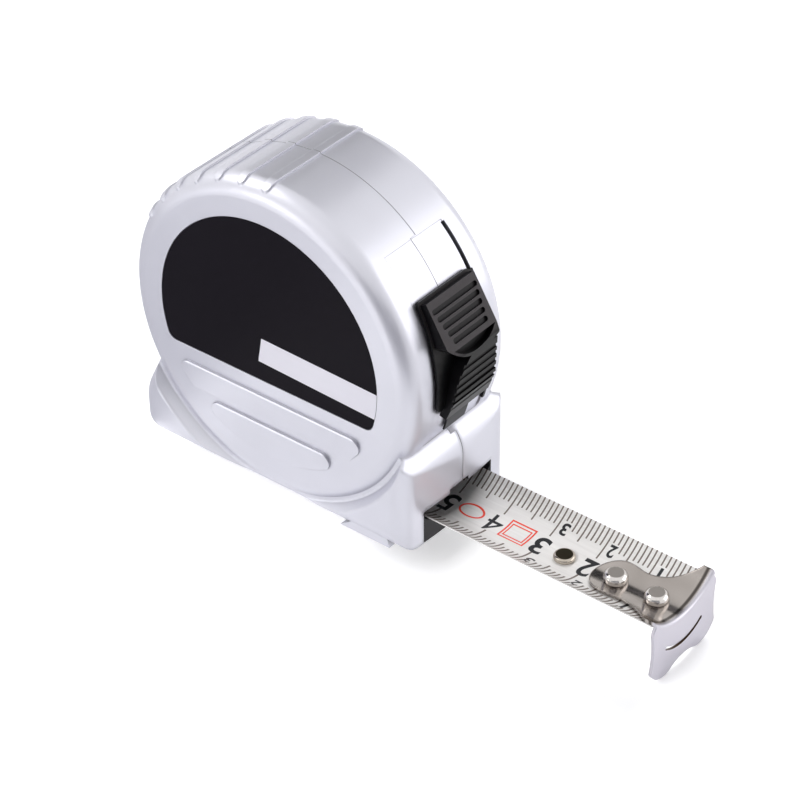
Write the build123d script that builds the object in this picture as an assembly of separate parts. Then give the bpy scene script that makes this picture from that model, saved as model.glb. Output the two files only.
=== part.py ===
"""A 5 m pocket tape measure with a 19 mm blade.

Frame: X runs forward out of the mouth, Y across the case, Z up.
The origin is on the base, midway between the sides, under the middle of the drum.
All sizes are millimetres.
"""
from build123d import *
from math import acos, asin, atan2, cos, degrees, hypot, radians, sin, sqrt, tan
import os

os.makedirs("parts", exist_ok=True)

# ---- driving sizes: blade ------------------------------------------------------------------------
BLADE_W = 19.0           # width of the strip measured flat
BLADE_T = 0.2
BLADE_R = 13.4           # radius of its cross curve, on the underside
BLADE_Z = 2.0            # height of the underside at the middle
BLADE_END_X = 79.05      # front end of the strip
BLADE_REAR_X = 22.0      # where the straight run starts, inside the case
blade_half_angle = BLADE_W / 2 / BLADE_R
blade_axis_z = BLADE_Z + BLADE_R
blade_chord_half = BLADE_R * sin(blade_half_angle)
blade_sag = BLADE_R * (1 - cos(blade_half_angle))   # rise of the edges above the middle

# ---- clearances ----------------------------------------------------------------------------------
CLEAR = 0.05             # running clearance of shafts and guides, on the radius
SEAT = 0.02              # clearance of parts that sit in a recess
SLOT_CLEAR = 0.1         # clearance of the button's leg in its slot
REEL_CLEAR = 0.1         # end play of the reel between the case walls
FLANGE_CLEAR = 0.2       # air between the wound blade and a flange
COIL_CLEAR = 0.1         # air between the strip's edge and the coil's nominal half width

# ---- driving sizes: reel -------------------------------------------------------------------------
POST_R = 3.5             # fixed post that the reel turns on
POST_SEAT = 0.5          # depth of its socket in each half
HUB_R, HUB_WALL = 15.0, 1.2
FLANGE_T = 0.8
SLEEVE = 1.2             # how far the reel's sleeves stand out beyond its flanges
SLEEVE_WALL = 1.6
COIL_T, COIL_PITCH = 0.5, 0.8     # drawn thickness and pitch of the wound blade
SPRING_T, SPRING_PITCH = 0.45, 1.15
SPRING_INSET = 2.4       # how much narrower than the coil the spring is, on each side
coil_half = BLADE_W / 2 + COIL_CLEAR
flange_y = coil_half + FLANGE_CLEAR
reel_half = flange_y + FLANGE_T + SLEEVE

# ---- driving sizes: case -------------------------------------------------------------------------
WALL = 1.9               # plastic wall of the two case halves
DRUM_R = 32.2            # outer radius of the round body
DRUM_CUT = 0.55          # how much of its round underside the flat base takes off
SHOULDER_R = 3.5         # round between the rim and a side
FOOT_STEP = 1.3          # how far the foot stands out beside the drum
FOOT_EDGE_R = 3.9        # long lower edges of the foot
PLAN_CORNER_R = 3.6      # upright corners of the foot
BASE_WALL = 1.3          # thickness of the floor under the blade
NOSE_SET = 0.2           # how far the nose stays behind the drum's foremost point
NOSE_TOP = 20.65         # height of the nose's shoulder
NOSE_R = 7.0             # round of the nose's shoulder
NOSE_BULGE = 0.9         # how far the front face bows out between its corners
NOSE_WALL = 2.5          # thickness of the front wall above the mouth
HEEL_SET = 1.2           # how far the heel stays inside the drum's rearmost point
HEEL_TOP = 9.4           # height where the heel turns in to the waist
HEEL_R, HEEL_LOW_R = 9.0, 4.0
HEEL_WALL = 2.6
WAIST_RUN, WAIST_Z = 5.0, 19.5    # where the waist runs into the drum, ahead of the heel
GROOVE_DEPTH = 0.9       # valley between drum and foot, below the drum's flat side
GROOVE_GAP = 0.3         # how far its floor reaches outside the drum's shoulder
GROOVE_FLARE = 1.5       # how far its outer wall leans out
GROOVE_LOW_R, GROOVE_TOP_R = 0.5, 0.9
RIB_COUNT = 7            # grip ribs over the back of the crown
RIB_FIRST, RIB_STEP = 0.4, -10.0   # angles from the top, backwards negative
RIB_W, RIB_H = 1.7, 0.35
RIB_END = 0.7            # how far a rib's end stays inside the case's side
PART_Y = 1.0             # the two halves meet in this plane,
JOG_Y = -0.35            # and in this one beside the lock's track
case_half = reel_half + REEL_CLEAR + WALL
foot_half = case_half + FOOT_STEP
drum_z = DRUM_R - DRUM_CUT
nose_x = DRUM_R - NOSE_SET
heel_x = HEEL_SET - DRUM_R
side_r = DRUM_R - SHOULDER_R      # the sides are flat inside this circle

# ---- driving sizes: mouth ------------------------------------------------------------------------
MOUTH_SIDE = 1.0         # room beside the strip
MOUTH_HEAD = 1.6         # room above its edges
GUIDE_REAR_X = 19.0      # back end of the black guide in the mouth
GUIDE_DROP = 1.4         # how far the guide's sides stay below the roof
GUIDE_LUG = (2.2, 4.2, 1.2, 2.6, 1.2)   # lug: set back, length, height of its foot, tallness, reach
NOTCH_HEAD = 0.9         # depth of the notch in the roof that lets the rivet heads in
mouth_half = blade_chord_half + MOUTH_SIDE
mouth_top = BLADE_Z + blade_sag + BLADE_T + MOUTH_HEAD

# ---- driving sizes: label and side panel ---------------------------------------------------------
PANEL_INSET = 3.7        # the panel's circle lies this far inside the flat of the side
LABEL_INSET = 0.2        # the label lies this far inside the panel's circle
LABEL_DROP = 8.5         # its straight lower edge, below the drum's middle
LABEL_CORNER_R = 2.0
LABEL_T = 0.3
LABEL_SINK = 0.4         # depth of the label's recess
LABEL_CLEAR = 0.12
STEP_H = 0.55            # how far each step of the panel stands out at its ledge
STEP_DROPS = ((11.65, 17.1), (18.05, 24.7))   # (ledge, line where its ramp is flush again)
STEP_CORNER_R = 1.8
panel_r = side_r - PANEL_INSET

# ---- driving sizes: fastenings -------------------------------------------------------------------
SCREW_BOSS_R = 2.6
SCREW_R, SCREW_HEAD_R, SCREW_HEAD_H = 1.1, 2.1, 1.4
SCREW_PASS = 0.3         # the right half lets the thread pass by this much
HEAD_CLEAR = 0.25
SCREW_SINK = 4.2         # depth of the holes that the screw heads sit in
SCREW_GRIP = 8.6         # length of thread in the left half
BOSS_ANGLES = (22.0, -48.0, -112.0, 134.0)   # from the top, backwards negative
POST_SCREW_L, POST_SCREW_SINK = 8.0, 0.9
CLIP_UP = 15.35          # height of the belt clip's screw above the drum's middle
CLIP_SCREW_R, CLIP_HEAD_R, CLIP_HEAD_H = 1.4, 2.7, 1.5
CLIP_BOSS_WALL = 1.8
boss_circle = side_r - SCREW_HEAD_R - 0.4
flange_r = boss_circle - SCREW_BOSS_R - 1.8
coil_r = flange_r - 0.3
hub_in_r = HUB_R - HUB_WALL
clip_z = drum_z + CLIP_UP
clip_boss_h = SLEEVE + REEL_CLEAR - 0.3

# ---- driving sizes: belt clip --------------------------------------------------------------------
CLIP_HALF = 9.0
CLIP_T = 0.9
CLIP_GAP = 2.6           # space between the two legs of the clip
CLIP_RISE = 7.5          # height of its fold above the screw
CLIP_TOUCH_Z = 27.0      # where the long leg comes nearest to the case
CLIP_LOW_Z = 13.5        # its turned-out end
CLIP_BEND_R = 1.6

# ---- driving sizes: lock -------------------------------------------------------------------------
LOCK_HALF = 7.2          # half the width of the button's skirt
LOCK_TOP_A, LOCK_BOTTOM_A = 59.2, 97.3   # angles of its ends, from the top forwards
LOCK_LIFT = 0.12         # air between the skirt and the drum
SKIRT_T = 0.58
LOCK_TRAVEL = 14.0       # degrees that it slides up to let the blade run
TRACK_TOP_A, TRACK_BOTTOM_A = 42.6, 112.5
TRACK_SINK = 0.12        # the band that the button slides on lies this much lower
LEG_Y, LEG_T = 8.1, 0.6  # side leg of the button, in the narrow slot
LEG_DEPTH = 2.6
LEG_LOW_A = 107.5
WINDOW_A = (63.5, 84.0)  # hole under the button for its bridge to the brake arm
BRIDGE_A = (79.0, 82.5)
BRIDGE_HALF = 2.8
ARM_T = 1.1
ARM_LIFT = 0.3           # air between the arm and the case wall above it
ARM_A = (61.2, 116.0)
ARM_HALF = 5.4
button_in_r = DRUM_R + LOCK_LIFT
arm_out_r = DRUM_R - WALL - ARM_LIFT

# ---- driving sizes: hook and rivets --------------------------------------------------------------
FLOAT = 0.6              # travel of the hook on its rivets, one hook thickness
HOOK_T = 0.6
HOOK_GAP = 0.08          # air between hook and strip
HOOK_OVER = 0.15         # how far the plate reaches over the strip's edges
RIVET_BACKS = (13.1, 4.6)    # the two rivets that carry the hook, behind the blade's end
STOP_BACK = 23.95        # the single rivet behind them
RIVET_R = 1.2
RIVET_RIM = 0.95         # how far a rivet's head overhangs its shank
RIVET_HEAD_H, RIVET_FLAT_R = 1.7, 1.45
STOP_HEAD_R, STOP_HEAD_H, STOP_FLAT_R = 1.95, 1.0, 1.4
RIVET_TAIL_RIM, RIVET_TAIL_H = 0.7, 0.45
TAB_R = 4.6              # round rear end of the plate
TAB_NECK, TAB_SPREAD = (9.4, 4.2), (5.6, 5.2)   # (behind the blade's end, half width)
LIP_EAR = 0.7            # how far the lip's ears reach beyond the plate
LIP_WAIST = 0.2
LIP_LOW_Z = -7.4         # lowest point of the ears
NAIL_SLOT_HALF, NAIL_SLOT_W, NAIL_SLOT_Z, NAIL_SLOT_SAG = 5.1, 0.8, -1.45, 1.6
rivet_xs = [BLADE_END_X - back for back in RIVET_BACKS]
stop_x = BLADE_END_X - STOP_BACK
rivet_head_r = RIVET_R + RIVET_RIM
notch_half = rivet_head_r + 0.5   # half the width of the notch that lets the heads in
hook_half = blade_chord_half + HOOK_OVER
hook_outer_r = BLADE_R - BLADE_T - HOOK_GAP
hook_inner_r = hook_outer_r - HOOK_T
hook_in_x = BLADE_END_X + FLOAT + 0.05      # inner face of the lip

# ---- driving sizes: strip between coil and mouth -------------------------------------------------
LEAD_GAP = 0.3
LEAD_BEND = 8.0          # length over which it bends level
LEAD_BEND_RISE = 1.1     # height of the bend's start above the straight run
LEAD_SHARES = (0.06, 0.3, 0.55, 0.8, 1.0)   # how much of the cross curve each section has
lead_r = coil_r + LEAD_GAP
lead_bend_x = BLADE_REAR_X - LEAD_GAP - LEAD_BEND
# angle behind the coil's lowest point at which a tangent leaves for the bend's start
bend_drop = drum_z - BLADE_Z - LEAD_BEND_RISE
lead_angle = degrees(acos((lead_r + BLADE_T) / hypot(lead_bend_x, bend_drop)) - atan2(lead_bend_x, bend_drop))


def at(angle, radius, y=0.0):
    """Point on the round body: angle from the top, positive towards the front."""
    return Vector(radius * sin(radians(angle)), y, drum_z + radius * cos(radians(angle)))


def side_prism(face, half):
    """Extrude a face drawn in X and Z through -half..half."""
    return extrude(face, amount=2 * half, dir=(0, -1, 0)).moved(Location((0, half, 0)))


def outline(points):
    """Closed straight-sided face in the X-Z plane."""
    return make_face(Polyline(*[(x, 0, z) for x, z in points], close=True).edges())


def block(x0, x1, half, z0, z1):
    """Box between two X and two Z values, across the middle."""
    return Pos((x0 + x1) / 2, 0, (z0 + z1) / 2) * Box(x1 - x0, 2 * half, z1 - z0)


def drum(radius, half, fillet_r):
    """Round body lying along Y, with rounded rims."""
    body = Cylinder(radius, 2 * half, rotation=(90, 0, 0))
    body = fillet(body.edges().filter_by(GeomType.CIRCLE), fillet_r)
    return Pos(0, 0, drum_z) * body


def disc(radius, y0, y1, centre=None):
    """Flat cylinder along Y between y0 and y1."""
    x, z = centre or (0, drum_z)
    return Pos(x, (y0 + y1) / 2, z) * Cylinder(radius, abs(y1 - y0), rotation=(90, 0, 0))


def sector(r0, r1, a0, a1, y0, y1):
    """Part of a ring around the drum's axis, between two angles from the top."""
    mid = (a0 + a1) / 2
    inner = ThreePointArc(at(a0, r0), at(mid, r0), at(a1, r0))
    outer = ThreePointArc(at(a0, r1), at(mid, r1), at(a1, r1))
    ends = [Line(inner @ 0, outer @ 0), Line(inner @ 1, outer @ 1)]
    face = make_face([inner, outer, *ends])
    return extrude(face, amount=y1 - y0, dir=(0, 1, 0)).moved(Location((0, y0, 0)))


def stack_arc(outer_r, thick, x0, x1, half_angle):
    """Strip with the blade's cross curve: its underside lies at outer_r from the curve's axis."""
    def point(r, a):
        return Vector(x0, r * sin(a), blade_axis_z - r * cos(a))

    r_in = outer_r - thick
    low = ThreePointArc(point(outer_r, -half_angle), point(outer_r, 0), point(outer_r, half_angle))
    high = ThreePointArc(point(r_in, -half_angle), point(r_in, 0), point(r_in, half_angle))
    ends = [Line(low @ 0, high @ 0), Line(low @ 1, high @ 1)]
    return extrude(make_face([low, high, *ends]), amount=x1 - x0, dir=(1, 0, 0))


def blade_curve(radius):
    """Round bar along X about the axis of the blade's cross curve."""
    return Pos(0, 0, blade_axis_z) * Cylinder(radius, 400, rotation=(0, 90, 0))


# ---- case: outer form ----------------------------------------------------------------------------
def nose_plan(inset=0.0):
    """Plan of the nose: bowed front and rounded corners; it is wider than the case behind them."""
    wide, rear = foot_half + 5, heel_x - 5
    front = nose_x - inset
    side_x = front - NOSE_BULGE
    back_x = side_x - 2 * PLAN_CORNER_R
    bow = ThreePointArc((side_x, -foot_half, 0), (front, 0, 0), (side_x, foot_half, 0))
    face = make_face([bow, Polyline(
        bow @ 1, (back_x, foot_half, 0), (back_x, wide, 0), (rear, wide, 0), (rear, -wide, 0),
        (back_x, -wide, 0), (back_x, -foot_half, 0), bow @ 0)])
    corners = [v for v in face.vertices() if abs(v.X - side_x) < 1e-3]
    return fillet(corners, PLAN_CORNER_R)


def foot_side():
    """Foot seen from the side: heel, waist, and the nose with its rounded shoulder."""
    inside = NOSE_TOP + 2    # hidden in the drum
    face = outline([
        (heel_x, 0), (nose_x, 0), (nose_x, NOSE_TOP), (nose_x - 28, NOSE_TOP),
        (heel_x + 11, inside), (heel_x + WAIST_RUN, WAIST_Z), (heel_x, HEEL_TOP),
    ])
    for (x, z), radius in (((heel_x, 0), HEEL_LOW_R), ((heel_x, HEEL_TOP), HEEL_R), ((nose_x, NOSE_TOP), NOSE_R)):
        corner = face.vertices().sort_by_distance((x, 0, z))[0]
        face = fillet(corner, radius)
    return face


def groove():
    """Ring-shaped valley between drum and foot, on both sides: its outer wall flares to a soft edge."""
    floor_y = case_half - GROOVE_DEPTH
    top_y = foot_half + 0.03
    floor_r = DRUM_R - GROOVE_GAP
    far_r, far_y = floor_r + GROOVE_FLARE + 6, top_y + 5
    wall = FilletPolyline(
        (0, floor_y), (floor_r, floor_y), (floor_r + GROOVE_FLARE, top_y), (far_r, top_y),
        radius=(GROOVE_LOW_R, GROOVE_TOP_R))
    rest = Polyline((far_r, top_y), (far_r, far_y), (0, far_y), (0, floor_y))
    ring = revolve(make_face([*wall.edges(), *rest.edges()]), Axis.Y)
    return Pos(0, 0, drum_z) * (ring + mirror(ring, Plane.XZ))


def foot():
    """Block below the drum: its long lower edges are rounded before the nose is cut to its plan."""
    solid = side_prism(foot_side(), foot_half)
    low_edges = []
    for edge in solid.edges():
        c = edge.center()
        if abs(abs(c.Y) - foot_half) < 1e-3 and c.X < nose_x - 12 and c.Z < HEEL_TOP + 6:
            low_edges.append(edge)
    solid = fillet(low_edges, FOOT_EDGE_R) & extrude(nose_plan(), amount=NOSE_TOP + 4)
    return solid - groove()


def toes():
    """Flat pads that square off the rounded lower edge beside the mouth."""
    back, front = nose_x - 15.6, nose_x - 4.4
    slope = Line((back, 0, 0), (back + 6.7, 0, 4.9))
    crown = ThreePointArc(slope @ 1, (back + 8.2, 0, 5.3), (back + 9.4, 0, 4.2))
    drop = ThreePointArc(crown @ 1, (back + 10.6, 0, 2.2), (front, 0, 0))
    pads = side_prism(make_face([slope, crown, drop, Line(drop @ 1, slope @ 0)]), foot_half - 0.6)
    return pads - Box(200, 2 * (foot_half - 3.4), 40)


def ribs():
    """Grip ribs, cut from a drum that is one rib height larger than the case."""
    skin = drum(DRUM_R + RIB_H, case_half + RIB_H, SHOULDER_R + RIB_H) - drum(
        DRUM_R - 1.0, case_half - 1.0, SHOULDER_R - 1.0)
    bar = Box(RIB_W, 2 * (case_half - RIB_END), DRUM_R + 4, align=(Align.CENTER, Align.CENTER, Align.MIN))
    bar = fillet(bar.edges().filter_by(Axis.Z), RIB_W / 2 - 0.02)
    found = []
    for i in range(RIB_COUNT):
        placed = Pos(0, 0, drum_z) * Rot(0, RIB_FIRST + i * RIB_STEP, 0) * bar
        found.append((skin & placed).solids().sort_by(Axis.Z)[-1])
    return found


def chord_edges(radius, chord_z, sign):
    """Level chord of a circle about the drum's axis, and the arc above (1) or below (-1) it."""
    half = sqrt(radius**2 - (drum_z - chord_z) ** 2)
    far_z = drum_z + sign * radius
    return [
        Line((-half, 0, chord_z), (half, 0, chord_z)),
        ThreePointArc((half, 0, chord_z), (0, 0, far_z), (-half, 0, chord_z)),
    ]


def panel_steps():
    """Two raised steps on each side, full height at the ledge and fading to nothing below."""
    root_y, face_y = case_half - 0.6, case_half + STEP_H
    found = []
    for ledge_drop, flush_drop in STEP_DROPS:
        ledge_z, flush_z = drum_z - ledge_drop, drum_z - flush_drop
        trim = make_face(chord_edges(panel_r, ledge_z, -1))
        trim = side_prism(fillet(trim.vertices(), STEP_CORNER_R), face_y + 1)
        section = make_face(Polyline(
            (0, root_y, ledge_z), (0, face_y - 0.12, ledge_z), (0, face_y, ledge_z - 0.25),
            (0, case_half, flush_z), (0, root_y, flush_z), close=True).edges())
        wedge = extrude(section, amount=2 * DRUM_R, dir=(1, 0, 0)).moved(Location((-DRUM_R, 0, 0))) & trim
        found += [wedge, mirror(wedge, Plane.XZ)]
    return found


def label_prism(clear, y0, y1):
    """Round label cut off by a level edge; clear is the air around it."""
    face = make_face(chord_edges(panel_r - LABEL_INSET - clear, drum_z - LABEL_DROP + clear, 1))
    face = fillet(face.vertices(), LABEL_CORNER_R)
    return extrude(face, amount=y1 - y0, dir=(0, 1, 0)).moved(Location((0, y0, 0)))


# ---- case: openings ------------------------------------------------------------------------------
def button_track():
    """Level band over the front of the drum that the lock button slides on."""
    return sector(DRUM_R - TRACK_SINK, DRUM_R + 8, TRACK_TOP_A, TRACK_BOTTOM_A,
                  -LOCK_HALF - 0.4, LEG_Y - LEG_T / 2)


def leg_slot():
    return sector(DRUM_R - LEG_DEPTH - 1.4, DRUM_R + 8, TRACK_TOP_A + 0.8, TRACK_BOTTOM_A - 0.5,
                  LEG_Y - LEG_T - SLOT_CLEAR, LEG_Y + SLOT_CLEAR)


def lock_window():
    """Hole under the button for the bridge to the brake arm inside."""
    return sector(DRUM_R - 4, DRUM_R + 4, *WINDOW_A, -BRIDGE_HALF - 0.4, BRIDGE_HALF + 0.4)


def cavity():
    """Room for the reel, and the lower room that the blade runs through."""
    inner = drum(DRUM_R - WALL, case_half - WALL, SHOULDER_R - WALL)
    front, rear = nose_x - NOSE_WALL, heel_x + HEEL_WALL
    room = outline([
        (rear, BASE_WALL), (front, BASE_WALL), (front, NOSE_TOP - 6.2), (front - 1.2, NOSE_TOP - 3.7),
        (front - 4.5, NOSE_TOP - 2.3), (rear + 3, WAIST_Z - 1), (rear, HEEL_TOP - 0.5),
    ])
    return inner + side_prism(room, mouth_half + 0.6)


def guide_lugs(clear):
    """Bar that the guide's two lugs are cut from, or their pockets."""
    back, length, foot_z, tall, reach = GUIDE_LUG
    x0 = GUIDE_REAR_X + back
    return block(x0 + clear, x0 + length - clear, mouth_half + reach + 0.1 - 5 * clear,
                 foot_z + clear, foot_z + tall - clear)


def mouth():
    """Opening for the blade, with the notch for the rivet heads and the guide's bed."""
    front = nose_x + 5
    opening = block(GUIDE_REAR_X, front, mouth_half, -1, mouth_top)
    notch = block(GUIDE_REAR_X, front, notch_half, 0, mouth_top + NOTCH_HEAD)
    return opening + notch + guide_lugs(0)


def boss_places():
    places = [at(a, boss_circle) for a in BOSS_ANGLES]
    return [(p.X, p.Z) for p in places]


def case_body():
    """Outer form of both halves together."""
    body = drum(DRUM_R, case_half, SHOULDER_R) + foot() + toes()
    for piece in ribs() + panel_steps():
        body += piece
    body &= Box(200, 200, 100, align=(Align.CENTER, Align.CENTER, Align.MIN))
    return body - button_track()


def biggest(shape):
    return shape.solids().sort_by(SortBy.VOLUME)[-1]


def case_halves():
    """Shell with its screw posts and sockets, parted in a plane that jogs beside the lock."""
    shell = case_body() - cavity() - mouth()
    inside_wall = drum(DRUM_R - 0.6, case_half - 0.6, SHOULDER_R - 0.6)
    for place in boss_places():
        shell += disc(SCREW_BOSS_R, -case_half, case_half, place) & inside_wall
    clip_place = (0, clip_z)
    clip_boss_y = case_half - WALL - clip_boss_h
    shell += disc(CLIP_SCREW_R + CLIP_BOSS_WALL, clip_boss_y, case_half - 0.6, clip_place)

    # screws go in from the right-hand side
    out = case_half + 3
    for place in boss_places():
        shell -= disc(SCREW_R, -SCREW_GRIP, out, place)
        shell -= disc(SCREW_R + SCREW_PASS, PART_Y + SEAT, out, place)
        shell -= disc(SCREW_HEAD_R + HEAD_CLEAR, case_half - SCREW_SINK, out, place)
    socket_y = case_half - WALL + POST_SEAT
    shell -= disc(POST_R + SEAT, -socket_y, socket_y)
    shell -= disc(SCREW_R + SCREW_PASS, 0, out)
    shell -= disc(SCREW_HEAD_R + HEAD_CLEAR, case_half - POST_SCREW_SINK, out)
    shell -= disc(CLIP_SCREW_R, clip_boss_y - 1, out, clip_place)
    shell -= lock_window()

    big = 400
    right_space = Box(big, big, big, align=(Align.CENTER, Align.MIN, Align.CENTER)).moved(Location((0, PART_Y, 0)))
    right_space += sector(DRUM_R - 6, DRUM_R + 8, TRACK_TOP_A - 0.4, TRACK_BOTTOM_A + 1.5, JOG_Y, PART_Y)
    left = shell - right_space - label_prism(0.0, -case_half - 1, -case_half + LABEL_SINK)
    right = (shell & right_space) - leg_slot()
    return biggest(left), biggest(right)


def face_label():
    back = -case_half + LABEL_SINK
    return label_prism(LABEL_CLEAR, back - LABEL_T, back)


# ---- mouth guide ---------------------------------------------------------------------------------
def mouth_guide():
    """Black shoe that closes the base under the blade and carries it."""
    body = block(GUIDE_REAR_X + SEAT, nose_x + 5, mouth_half - SEAT, 0, mouth_top) + guide_lugs(SEAT)
    body &= extrude(nose_plan(0.15), amount=NOSE_TOP)
    body -= block(0, nose_x + 5, mouth_half + 9, mouth_top - GUIDE_DROP, mouth_top + 5)
    body -= block(0, nose_x + 5, notch_half, BLADE_Z - 1.0, mouth_top)
    return body - blade_curve(BLADE_R + 0.3)


# ---- blade and hook ------------------------------------------------------------------------------
def pin(x, radius, z0, z1):
    return Pos(x, 0, (z0 + z1) / 2) * Cylinder(radius, z1 - z0)


def blade():
    strip = stack_arc(BLADE_R, BLADE_T, BLADE_REAR_X, BLADE_END_X, blade_half_angle)
    for x in (*rivet_xs, stop_x):
        strip -= pin(x, RIVET_R + CLEAR, 0, 8)
    return strip


def rivet(x, head_r, head_h, flat_r, seat_r):
    """Drawn rivet: domed head on the curved seat, shank, and a flat tail under the strip."""
    under_z = blade_axis_z - seat_r
    foot_r, bulge_r = head_r - 0.13, head_r + 0.06
    head = make_face([
        Line((0, 0, 0), (foot_r, 0, 0)),
        ThreePointArc((foot_r, 0, 0), (bulge_r, 0, head_h * 0.42), (flat_r, 0, head_h)),
        Line((flat_r, 0, head_h), (0, 0, head_h)),
        Line((0, 0, head_h), (0, 0, 0)),
    ])
    head = Pos(x, 0, under_z) * revolve(head, Axis.Z)
    head &= blade_curve(seat_r)
    low = BLADE_Z - RIVET_TAIL_H
    shank = pin(x, RIVET_R, low + 0.1, under_z + 0.4)
    tail = pin(x, RIVET_R + RIVET_TAIL_RIM, low, BLADE_Z + 0.3)
    tail = fillet(tail.edges().group_by(Axis.Z)[0], 0.2)
    return head + shank + (tail - blade_curve(BLADE_R + SEAT))


def hook_rivets():
    """Heads stand clear of the plate by a running gap, so that the hook can float."""
    seat_r = hook_inner_r - CLEAR
    return [rivet(x, rivet_head_r, RIVET_HEAD_H, RIVET_FLAT_R, seat_r) for x in rivet_xs]


def stop_rivet():
    return rivet(stop_x, STOP_HEAD_R, STOP_HEAD_H, STOP_FLAT_R, BLADE_R - BLADE_T - SEAT)


def hook_plan():
    """Plate seen from above: round tail, neck, then spreading to the full width at the lip."""
    x_tail = rivet_xs[0]
    front = hook_in_x + HOOK_T
    tail = ThreePointArc((x_tail - TAB_R, 0, 0), (x_tail - TAB_R * sqrt(0.5), TAB_R * sqrt(0.5), 0), (x_tail, TAB_R, 0))
    flank = Spline([(x_tail, TAB_R, 0)] + [(BLADE_END_X - back, half, 0) for back, half in
                                           ((*TAB_NECK,), (*TAB_SPREAD,), (1.0, hook_half))],
                   tangents=[(1, 0, 0), (1, 0.9, 0)])
    side = Line(flank @ 1, (front, hook_half, 0))
    right = [tail, flank, side]
    left = [edge.mirror(Plane.XZ) for edge in right]
    return make_face([*right, Line((front, hook_half, 0), (front, -hook_half, 0)), *left])


def lip_outline():
    """Lip seen from the front: waisted sides, two ears and a shallow arch between them."""
    plate_z = blade_axis_z - sqrt(hook_inner_r**2 - hook_half**2)   # the plate's edges
    neck, waist, ear = hook_half - 0.6, hook_half + LIP_WAIST, hook_half + LIP_EAR
    low = LIP_LOW_Z
    side = [
        Line((0, 0, plate_z + 2), (0, neck, plate_z + 2)),
        Line((0, neck, plate_z + 2), (0, neck, plate_z - 0.6)),
        ThreePointArc((0, neck, plate_z - 0.6), (0, ear - 0.55, plate_z - 1.4), (0, ear - 0.1, plate_z - 2.8)),
        ThreePointArc((0, ear - 0.1, plate_z - 2.8), (0, waist, low + 7), (0, ear, low + 2.8)),
        ThreePointArc((0, ear, low + 2.8), (0, ear - 1.4, low + 1), (0, ear - 4.2, low)),
        ThreePointArc((0, ear - 4.2, low), (0, ear - 5.3, low + 0.1), (0, ear - 6.2, low + 0.5)),
        ThreePointArc((0, ear - 6.2, low + 0.5), (0, 1.8, low + 1.05), (0, 0, low + 1.2)),
    ]
    other = [edge.mirror(Plane.XZ) for edge in side]
    return make_face([*side, *other])


def lip_slot():
    """Curved slot that takes a nail head."""
    half, sag = NAIL_SLOT_HALF, NAIL_SLOT_SAG
    low_z, high_z = NAIL_SLOT_Z - NAIL_SLOT_W / 2, NAIL_SLOT_Z + NAIL_SLOT_W / 2
    low = ThreePointArc((0, -half, low_z), (0, 0, low_z - sag), (0, half, low_z))
    high = ThreePointArc((0, -half, high_z), (0, 0, high_z - sag), (0, half, high_z))
    ends = [
        ThreePointArc(low @ 0, (0, -half - NAIL_SLOT_W / 2, NAIL_SLOT_Z), high @ 0),
        ThreePointArc(low @ 1, (0, half + NAIL_SLOT_W / 2, NAIL_SLOT_Z), high @ 1),
    ]
    return make_face([low, high, *ends])


def end_hook():
    """Pressed plate on the blade, bent down into the lip; its holes are slots, so that it floats."""
    front = hook_in_x + HOOK_T
    plate = stack_arc(hook_outer_r, HOOK_T, rivet_xs[0] - TAB_R - 1, front, asin(hook_half / hook_outer_r) + 0.06)
    plate &= extrude(hook_plan(), amount=BLADE_Z + 12)
    lip = extrude(lip_outline(), amount=HOOK_T, dir=(1, 0, 0)).moved(Location((hook_in_x, 0, 0)))
    hook = plate + (lip - blade_curve(hook_inner_r))
    rim = [edge for edge in hook.edges().filter_by(GeomType.CIRCLE)
           if abs(edge.center().X - front) < 1e-3 and abs(edge.radius - hook_inner_r) < 1e-3]
    hook = fillet(rim, HOOK_T - 0.1)
    hole_r = RIVET_R + CLEAR
    for x in rivet_xs:
        slot = Pos(x + FLOAT / 2, 0, 0) * Box(FLOAT, 2 * hole_r, 20)
        hook -= pin(x, hole_r, 0, 9) + pin(x + FLOAT, hole_r, 0, 9) + slot
    cut = extrude(lip_slot(), amount=4, dir=(1, 0, 0)).moved(Location((hook_in_x - 2, 0, 0)))
    return hook - cut


# ---- reel ----------------------------------------------------------------------------------------
def spiral_strip(r_in, pitch, half_turns, thick, half):
    """Flat strip wound as a spiral of half circles, anticlockwise seen from the left."""
    inner, outer = [], []
    sign, centre, radius = 1, 0.0, r_in
    for _ in range(half_turns):
        for rad, store in ((radius, inner), (radius + thick, outer)):
            start, stop = Vector(centre + sign * rad, 0, 0), Vector(centre - sign * rad, 0, 0)
            store.append(ThreePointArc(start, Vector(centre, 0, sign * rad), stop))
        centre += sign * pitch / 2
        radius += pitch / 2
        sign = -sign
    ends = [Line(inner[0] @ 0, outer[0] @ 0), Line(inner[-1] @ 1, outer[-1] @ 1)]
    face = make_face([*inner, *outer, *ends])
    return Pos(0, -half, 0) * extrude(face, amount=2 * half, dir=(0, 1, 0))


def blade_coil():
    """The rest of the blade, wound flat on the drum; its outer end points to the mouth."""
    start_r = HUB_R + 0.1
    half_turns = int((coil_r - start_r - COIL_T + 0.1) / (COIL_PITCH / 2))
    coil = spiral_strip(start_r, COIL_PITCH, half_turns, COIL_T, coil_half - COIL_CLEAR)
    return Pos(0, 0, drum_z) * (Rot(0, lead_angle - 90, 0) * coil)


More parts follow.
